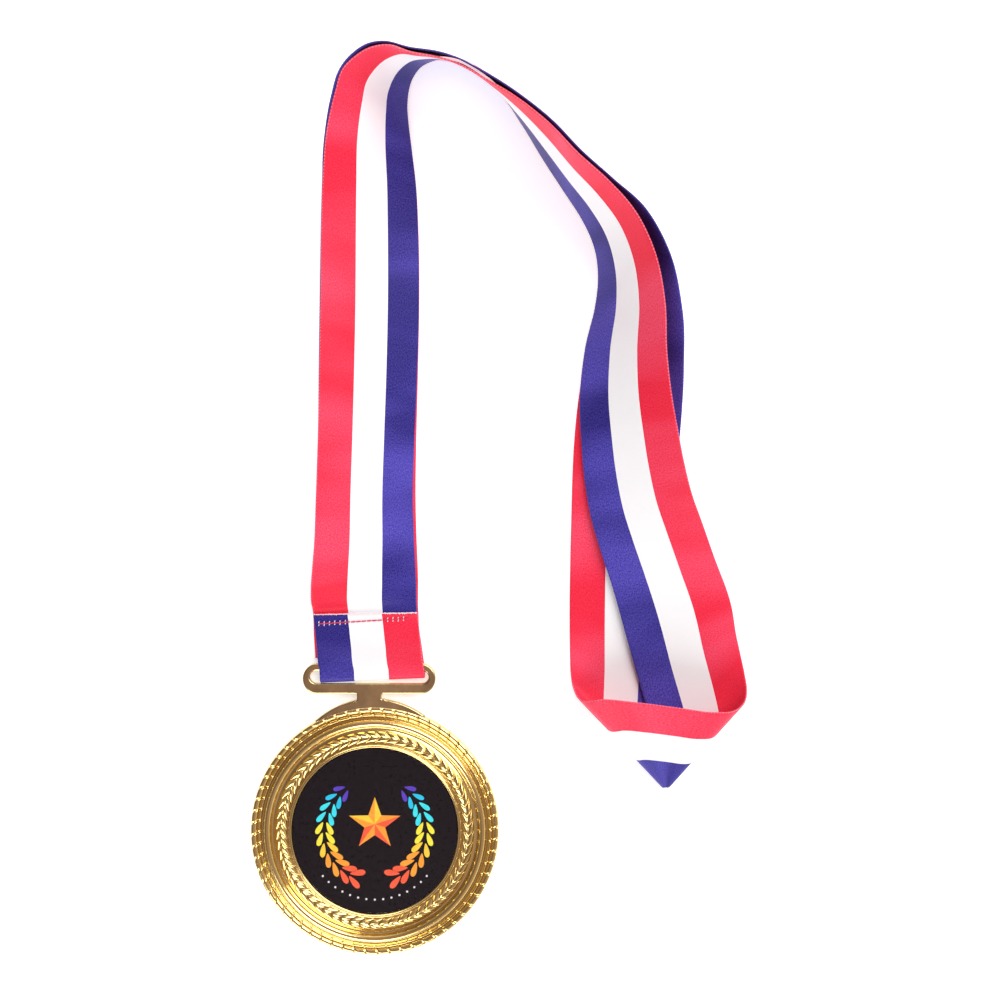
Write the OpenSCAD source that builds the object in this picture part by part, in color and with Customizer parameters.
// A gilt award medal with a round colour insert, hung by a slotted loop on a
// tricolour satin neck ribbon. It lies face up on a table: +Z is up, +Y runs
// from the medal towards the loop, and the origin is the centre of the medal's
// back. The ribbon is one strip: it starts at its cut end on the face side,
// turns round the loop's bar, runs up the back, stands on edge round a bend,
// folds over twice in a V and comes back on top of itself to the seam.

/* [Medal] */
// Outer diameter of the medal
medal_d = 75; // [75:1:76]
// Diameter of the colour insert
insert_d = 50; // [48:1:50]
// Thickness at the polished ring, the highest part of the rim
medal_h = 3.9; // [3.8:0.1:4.4]
// Height of the recess floor above the back
recess_z = 2.2; // [2:0.1:2.4]

/* [Hanger loop] */
// Width of the loop over its rounded ends
loop_w = 40.2; // [39.8:0.2:42]
// Height of the loop from the lower bar's outer edge to the upper bar's
loop_h = 9.2; // [9.2:0.1:9.6]
// Thickness of the loop and diameter of its upper bar
bar_d = 2.2; // [2:0.1:2.2]
// Distance from the medal's centre to the upper bar's axis
bar_y = 49.4; // [49.2:0.1:49.4]
// Width of the neck between loop and foot
neck_w = 7.6; // [6:0.2:9]
// How far the loop sits left of the medal's centre line
loop_shift = 1.7; // [0:0.1:1.8]
// Radial thickness of the foot at the neck
foot_t = 2.4; // [2:0.1:3]

/* [Ribbon] */
// Width of the ribbon
ribbon_w = 31.5; // [30:0.5:31.5]
// Thickness of the ribbon
ribbon_t = 0.5; // [0.4:0.05:0.5]
// Share of the width that the red stripe takes
red_share = 0.34; // [0.3:0.01:0.36]
// Share of the width that the white stripe takes
white_share = 0.33; // [0.3:0.01:0.36]
// Rings between two route points
route_steps = 2; // [2:1:3]

/* [Seam] */
// Length of one stitch and the gap after it
stitch_pitch = 1.6; // [1.4:0.1:2]
// Thickness of the sewing thread
thread_d = 0.2; // [0.15:0.05:0.2]

/* [Hidden] */

medal_r = medal_d / 2;
insert_r = insert_d / 2;
recess_r = insert_r + 0.15;
adhesive_h = 0.2;
insert_h = 0.4;
insert_z = recess_z + adhesive_h;
dome_z = insert_z + insert_h;
dome_edge_h = 0.15;
dome_crown_h = 0.45;

bar_r = bar_d / 2;
bar_z = 2.15;
lower_bar_w = 3.2;
lower_bar_y = bar_y - loop_h + bar_r + lower_bar_w / 2;
loop_end_r = (bar_y - lower_bar_y) / 2;
loop_half = loop_w / 2 - loop_end_r - bar_r;
foot_arc_r = 26;
foot_turn = asin(loop_shift / (medal_r + foot_t));

// Heights of the ribbon's middle surface where the three layers are sewn
layer_z = 0.65;
back_z = 0.5;
front_z = back_z + layer_z;
flap_z = front_z + layer_z;
bend_r = bar_z - back_z;
bend_y = 47.2;
seam_start = [-16.8, 62.4];
seam_end = [11.6, 64];

// Cut end and loop. Each point is the middle of the ribbon: x, y and height.
// The cut end is a little slanted, and so is the fold round the upper bar.
CUT_SLANT = 0.3;
FOLD_SLANT = 0.7;
FLAP = [[-3, 65.3, flap_z], [-2.5, 61, flap_z], [-2.2, 58, flap_z + 0.05], [-1.8, 55, flap_z + 0.5],
        [-1.5, 52.4, flap_z + 1.4], [-1.1, 50, bar_z + bend_r - 0.05], [-0.8, 48.7, bar_z + bend_r]];
BEND = [for (a = [90 : -30 : -90]) [-0.7, bend_y - bend_r * cos(a), bar_z + bend_r * sin(a)]];

// Edge that rests on the table, from the loop up and round the bend to the V.
// Each point is x, y, the height of the resting edge, the lean in degrees and
// how far the raised edge runs ahead of it. A lean of 0 is flat, 90 stands on
// edge and more leans in over the bend.
BACK_STRAND = [
    [14.6, 51, back_z, 0, 0], [13.9, 56, back_z, 0, 0], [13.2, 61, back_z, 0, 0],
    [13.0, 65, back_z, 0, 0], [12.9, 67.5, back_z, 0, 0], [12.9, 70, 0.4, 5, 0], [12.9, 75, 0.3, 13, 0],
    [12.7, 81, 0.3, 20.5, 0], [12.4, 88, 0.3, 26, 0], [12.1, 100, 0.3, 30.5, 0],
    [12.3, 118, 0.3, 31, 0], [12.8, 138, 0.3, 29.5, 0], [13.2, 160, 0.3, 29, 0],
    [13.0, 180, 0.3, 31.5, 0], [12.2, 194, 0.3, 36, 0], [10.4, 206, 0.3, 44, 0], [8.9, 215, 0.3, 54, 0],
    [8.4, 220, 0.3, 60.5, -1], [8.8, 224.5, 0.3, 68, -4], [10.0, 228.8, 0.3, 78.5, -7],
    [12.4, 232.4, 0.3, 92, -9], [16.2, 234.6, 0.3, 106, -6.5], [20.8, 235.0, 0.3, 111, -1],
    [27.4, 233.4, 0.3, 111, 2], [34.0, 229.4, 0.3, 109, 2], [39.8, 223.6, 0.3, 105, 2],
    [45.5, 214.9, 0.3, 98, 1], [52.3, 203.7, 0.3, 90, 0], [58.5, 194.2, 0.3, 86, 0],
    [64.1, 185.4, 0.3, 80, 0], [67.7, 177.2, 0.3, 70, 0], [69.0, 168, 0.3, 59, 0],
    [67.8, 157.5, 0.3, 46, 0], [64.2, 144.5, 0.3, 29, 0], [61.6, 130, 0.3, 16, 0],
    [60.4, 118, 0.3, 10, 0], [59.8, 106, 0.3, 7, 0], [59.5, 94, 0.3, 6, 0], [59.2, 82, 0.3, 5, 0],
    [59.0, 70, 0.3, 4, 0]];

// Edge that rests on the table, from the seam up and round the bend to the V.
FRONT_STRAND = [
    [13.2, 54, front_z, 0, 0], [12.8, 60, front_z, 0, 0], [12.6, 66, front_z, 0, 0],
    [12.5, 67.5, front_z, 0, 0], [12.4, 70, 1.2, 6, 0], [12.3, 75, 1.3, 15, 0], [12.0, 81, 1.4, 23, 0],
    [11.7, 88, 1.4, 29, 0], [11.3, 100, 1.4, 33.5, 0], [11.8, 118, 1.4, 34, 0], [12.6, 136, 1.4, 32, 0],
    [13.2, 160, 1.4, 31, 0], [13.0, 180, 1.4, 33, 0], [12.4, 194, 1.4, 37, 0], [11.0, 206, 1.4, 45, 0],
    [9.9, 215, 1.2, 55, 0], [9.6, 220, 1.1, 61, -1], [10.0, 224, 1.0, 68, -4.5],
    [11.2, 228, 0.9, 79, -7.5], [13.4, 231.2, 0.8, 92, -9], [16.8, 233.2, 0.7, 105.5, -7],
    [20.8, 233.7, 0.6, 111.5, -1], [26.6, 232.1, 0.6, 111, 2], [33.0, 228.1, 0.6, 108.7, 2],
    [38.8, 222.4, 0.7, 105.2, 2], [44.6, 213.9, 0.8, 98, 1], [51.3, 202.8, 0.9, 90, 0],
    [57.4, 193.4, 1.0, 86, 0], [62.8, 184.9, 1.2, 80.5, 0], [66.3, 177.0, 1.3, 74, 0],
    [67.6, 168, 1.5, 66, 0], [66.6, 158, 1.8, 57, 0], [63.5, 145, 1.9, 47, 0], [62.0, 131, 1.9, 39, 0],
    [62.4, 118, 2.0, 33, 0], [63.4, 106, 2.2, 27, 0], [65.2, 95, 2.6, 22, 0], [68.0, 85, 3.0, 17, 0],
    [71.6, 74, 3.0, 12, 0]];

// The V. Each point pair is the red edge and the blue edge: x, y and height.
V_FOLD = [
    [59.0, 60, 0.3, 90.2, 56, 1.4], [59.1, 53, 0.3, 90.0, 38, 0.8], [59.3, 47.5, 0.4, 88.8, 24, 0.5],
    [59.8, 43.6, 1.2, 87.8, 15.5, 0.4], [60.5, 41.6, 3.2, 87.4, 13.3, 0.5],
    [61.5, 40.4, 6.4, 87.2, 12.7, 0.9], [63.2, 40.4, 9.8, 87.4, 12.7, 1.5],
    [67.6, 41.5, 12.6, 87.6, 12.8, 1.9], [76.8, 41.0, 14.0, 87.8, 12.9, 2.1],
    [90.1, 39.4, 14.5, 88.2, 12.9, 2.1], [100.5, 37.9, 13.4, 88.5, 12.8, 1.9],
    [107.0, 38.0, 11.2, 88.8, 12.8, 1.6], [110.6, 40.2, 8.0, 89.0, 12.9, 1.3],
    [111.8, 43.2, 5.0, 89.0, 13.6, 1.1], [111.5, 47.5, 3.2, 88.0, 18, 1.1],
    [110.3, 53.5, 2.8, 84.8, 29, 1.5], [108.9, 59.5, 3.4, 80.6, 42.5, 2.0],
    [107.3, 67.5, 5.0, 76.4, 57, 2.6]];

// Smooth curve through the route points, measured along their first 3 numbers
function chord(a, b) = norm([b[0] - a[0], b[1] - a[1], b[2] - a[2]]);
function rate(a, b) = (b - a) / chord(a, b);
function slope(p, i) =
    let (last = len(p) - 1)
    i == 0 ? rate(p[0], p[1]) :
    i == last ? rate(p[last - 1], p[last]) :
    let (before = chord(p[i - 1], p[i]), after = chord(p[i], p[i + 1]))
    (rate(p[i - 1], p[i]) * after + rate(p[i], p[i + 1]) * before) / (before + after);
function blend(a, b, slope_a, slope_b, u) =
    a * (1 + 2 * u) * pow(1 - u, 2) + b * (3 - 2 * u) * pow(u, 2) +
    (slope_a * u * pow(1 - u, 2) - slope_b * pow(u, 2) * (1 - u)) * chord(a, b);
function smooth_run(p, steps) = [
    for (i = [0 : len(p) - 2], s = [0 : steps - 1])
        blend(p[i], p[i + 1], slope(p, i), slope(p, i + 1), s / steps),
    p[len(p) - 1]];

// Other edge of the ribbon at a route point, seen from its resting edge
function raised_edge(p, i) =
    let (rise = slope(p, i), way = [rise[0], rise[1]] / norm([rise[0], rise[1]]),
         out = ribbon_w * cos(p[i][3]), ahead = p[i][4])
    [p[i][0] - way[1] * out + way[0] * ahead, p[i][1] + way[0] * out + way[1] * ahead,
     p[i][2] + ribbon_w * sin(p[i][3])];
function level_pair(p, slant) =
    [p[0] + ribbon_w / 2, p[1] + slant, p[2], p[0] - ribbon_w / 2, p[1] - slant, p[2]];
function xyz(p) = [p[0], p[1], p[2]];

// The whole strip as pairs of red edge and blue edge
STRIP_KEYS = concat(
    [for (i = [0 : len(FLAP) - 1]) level_pair(FLAP[i], i == 0 ? CUT_SLANT : 0)],
    [for (p = BEND) level_pair(p, FOLD_SLANT)],
    [for (i = [0 : len(BACK_STRAND) - 1]) concat(xyz(BACK_STRAND[i]), raised_edge(BACK_STRAND, i))],
    V_FOLD,
    [for (i = [len(FRONT_STRAND) - 1 : -1 : 0]) concat(raised_edge(FRONT_STRAND, i), xyz(FRONT_STRAND[i]))]);
STRIP = smooth_run(STRIP_KEYS, route_steps);

function red_edge(i) = [STRIP[i][0], STRIP[i][1], STRIP[i][2]];
function blue_edge(i) = [STRIP[i][3], STRIP[i][4], STRIP[i][5]];
function middle(i) = (red_edge(i) + blue_edge(i)) / 2;
function face_way(i) =
    let (along = middle(min(i + 1, len(STRIP) - 1)) - middle(max(i - 1, 0)),
         face = cross(along, blue_edge(i) - red_edge(i)))
    face / norm(face);
function across(i, share) = red_edge(i) * (1 - share) + blue_edge(i) * share;
function ring(i, from, to) =
    let (half = face_way(i) * ribbon_t / 2)
    [across(i, from) + half, across(i, to) + half, across(i, to) - half, across(i, from) - half];

function bead(r, z, half_w, h, steps) = [
    for (s = [0 : steps]) [r + half_w * cos(180 * s / steps), z + h * sin(180 * s / steps)]];

// The rim steps in from the outside: rope border, inner ridge, groove, polished
// ring, cove, wreath ring, groove and bezel, then the recess for the insert.
module medal_body() {
    back_chamfer = 1.8;
    back_round = 0.4;
    round_z = 0.6;
    side_z = 1.3;
    rope_half = 1.05;
    rope_h = 1.1;
    rope_z = 2.3;
    ridge_in = 2.7;
    ridge_half = 0.5;
    ridge_h = 0.7;
    ridge_z = rope_z + 0.2;
    groove_in = 3.6;
    groove_z = rope_z + 0.1;
    ring_in = 5;
    ring_r = 1.1;
    cove_in = 6.6;
    cove_w = 0.8;
    cove_rise = 0.3;
    wreath_in = 9.25;
    wreath_half = 1.7;
    wreath_h = 0.8;
    wreath_z = recess_z + 0.4;
    bezel_w = 1.05;
    bezel_z = recess_z + 0.9;
    bezel_edge = 0.1;
    bezel_step = 0.4;
    color([0.83, 0.66, 0.25])
    rotate_extrude($fn = 128)
    polygon(concat(
        [[0, 0], [medal_r - back_chamfer, 0], [medal_r - back_round, round_z], [medal_r, side_z]],
        bead(medal_r - rope_half, rope_z, rope_half, rope_h, 8),
        bead(medal_r - ridge_in, ridge_z, ridge_half, ridge_h, 6),
        [[medal_r - groove_in, groove_z]],
        bead(medal_r - ring_in, medal_h - ring_r, ring_r, ring_r, 10),
        [[medal_r - cove_in, recess_z], [medal_r - cove_in - cove_w, recess_z + cove_rise]],
        bead(medal_r - wreath_in, wreath_z, wreath_half, wreath_h, 8),
        [[recess_r + bezel_w, bezel_z - bezel_step], [recess_r + bezel_w - bezel_edge, bezel_z],
         [recess_r + bezel_edge, bezel_z], [recess_r, bezel_z - bezel_edge],
         [recess_r, recess_z], [0, recess_z]]));
}

module hanger_loop() {
    color([0.78, 0.60, 0.26])
    translate([-loop_shift, 0, 0]) {
        for (side = [-1, 1])
            translate([side * loop_half, (bar_y + lower_bar_y) / 2, bar_z])
            rotate([0, 0, -90 * side])
            rotate_extrude(angle = 180, $fn = 64)
            translate([loop_end_r, 0])
            circle(r = bar_r, $fn = 32);
        translate([-loop_half, bar_y, bar_z])
        rotate([0, 90, 0])
        cylinder(r = bar_r, h = 2 * loop_half, $fn = 32);
        translate([-loop_half, lower_bar_y - lower_bar_w / 2, bar_z - bar_r])
        cube([2 * loop_half, lower_bar_w, bar_d]);
        difference() {
            translate([-neck_w / 2, medal_r - 1, bar_z - bar_r])
            cube([neck_w, lower_bar_y - medal_r + 1, bar_d]);
            translate([loop_shift, 0, bar_z - bar_r - 1])
            cylinder(r = medal_r, h = bar_d + 2, $fn = 128);
        }
    }
    color([0.78, 0.60, 0.26])
    difference() {
        rotate([0, 0, foot_turn])
        translate([0, medal_r + foot_t - foot_arc_r, bar_z - bar_r])
        cylinder(r = foot_arc_r, h = bar_d, $fn = 128);
        translate([0, 0, bar_z - bar_r - 1])
        cylinder(r = medal_r, h = bar_d + 2, $fn = 128);
    }
}

module insert_adhesive() {
    color([0.9, 0.9, 0.86])
    translate([0, 0, recess_z])
    cylinder(r = insert_r - 0.4, h = adhesive_h, $fn = 96);
}

module printed_insert() {
    color([0.03, 0.03, 0.035])
    translate([0, 0, insert_z])
    cylinder(r = insert_r, h = insert_h, $fn = 96);
}

module insert_dome() {
    crown_steps = 8;
    dome_r = insert_r - 0.15;
    color([0.8, 0.85, 0.9, 0.3])
    translate([0, 0, dome_z])
    rotate_extrude($fn = 96)
    polygon(concat(
        [[0, 0], [dome_r, 0]],
        [for (s = [crown_steps : -1 : 0])
            let (out = s / crown_steps) [dome_r * out, dome_edge_h + dome_crown_h * (1 - out * out)]]));
}

module stripe(from, to) {
    rings = len(STRIP);
    points = [for (i = [0 : rings - 1], corner = ring(i, from, to)) corner];
    sides = [
        for (i = [0 : rings - 2], k = [0 : 3])
            let (a = 4 * i + k, b = 4 * i + (k + 1) % 4)
            each [[a, b, b + 4], [a, b + 4, a + 4]]];
    last = 4 * (rings - 1);
    start_cap = [[3, 2, 1], [3, 1, 0]];
    end_cap = [[last, last + 1, last + 2], [last, last + 2, last + 3]];
    polyhedron(points, concat(start_cap, sides, end_cap));
}

module ribbon_red() {
    color([0.95, 0.16, 0.27])
    stripe(0, red_share);
}

module ribbon_white() {
    color([0.97, 0.97, 0.98])
    stripe(red_share, red_share + white_share);
}

module ribbon_blue() {
    color([0.20, 0.16, 0.50])
    stripe(red_share + white_share, 1);
}

// One row of stitches across the flap, a little askew
module stitch_row(z) {
    stitch = 0.75 * stitch_pitch;
    run = seam_end - seam_start;
    count = floor(run[0] / stitch_pitch);
    for (s = [0 : count - 1])
        translate([seam_start[0] + s * stitch_pitch, seam_start[1] + run[1] * s / count, z])
        cube([stitch, thread_d, thread_d]);
}

module needle_thread() {
    color([0.90, 0.20, 0.35])
    stitch_row(flap_z + ribbon_t / 2);
}

module bobbin_thread() {
    color([0.90, 0.20, 0.35])
    stitch_row(back_z - ribbon_t / 2 - thread_d);
}

medal_body();
hanger_loop();
insert_adhesive();
printed_insert();
insert_dome();
ribbon_red();
ribbon_white();
ribbon_blue();
needle_thread();
bobbin_thread();
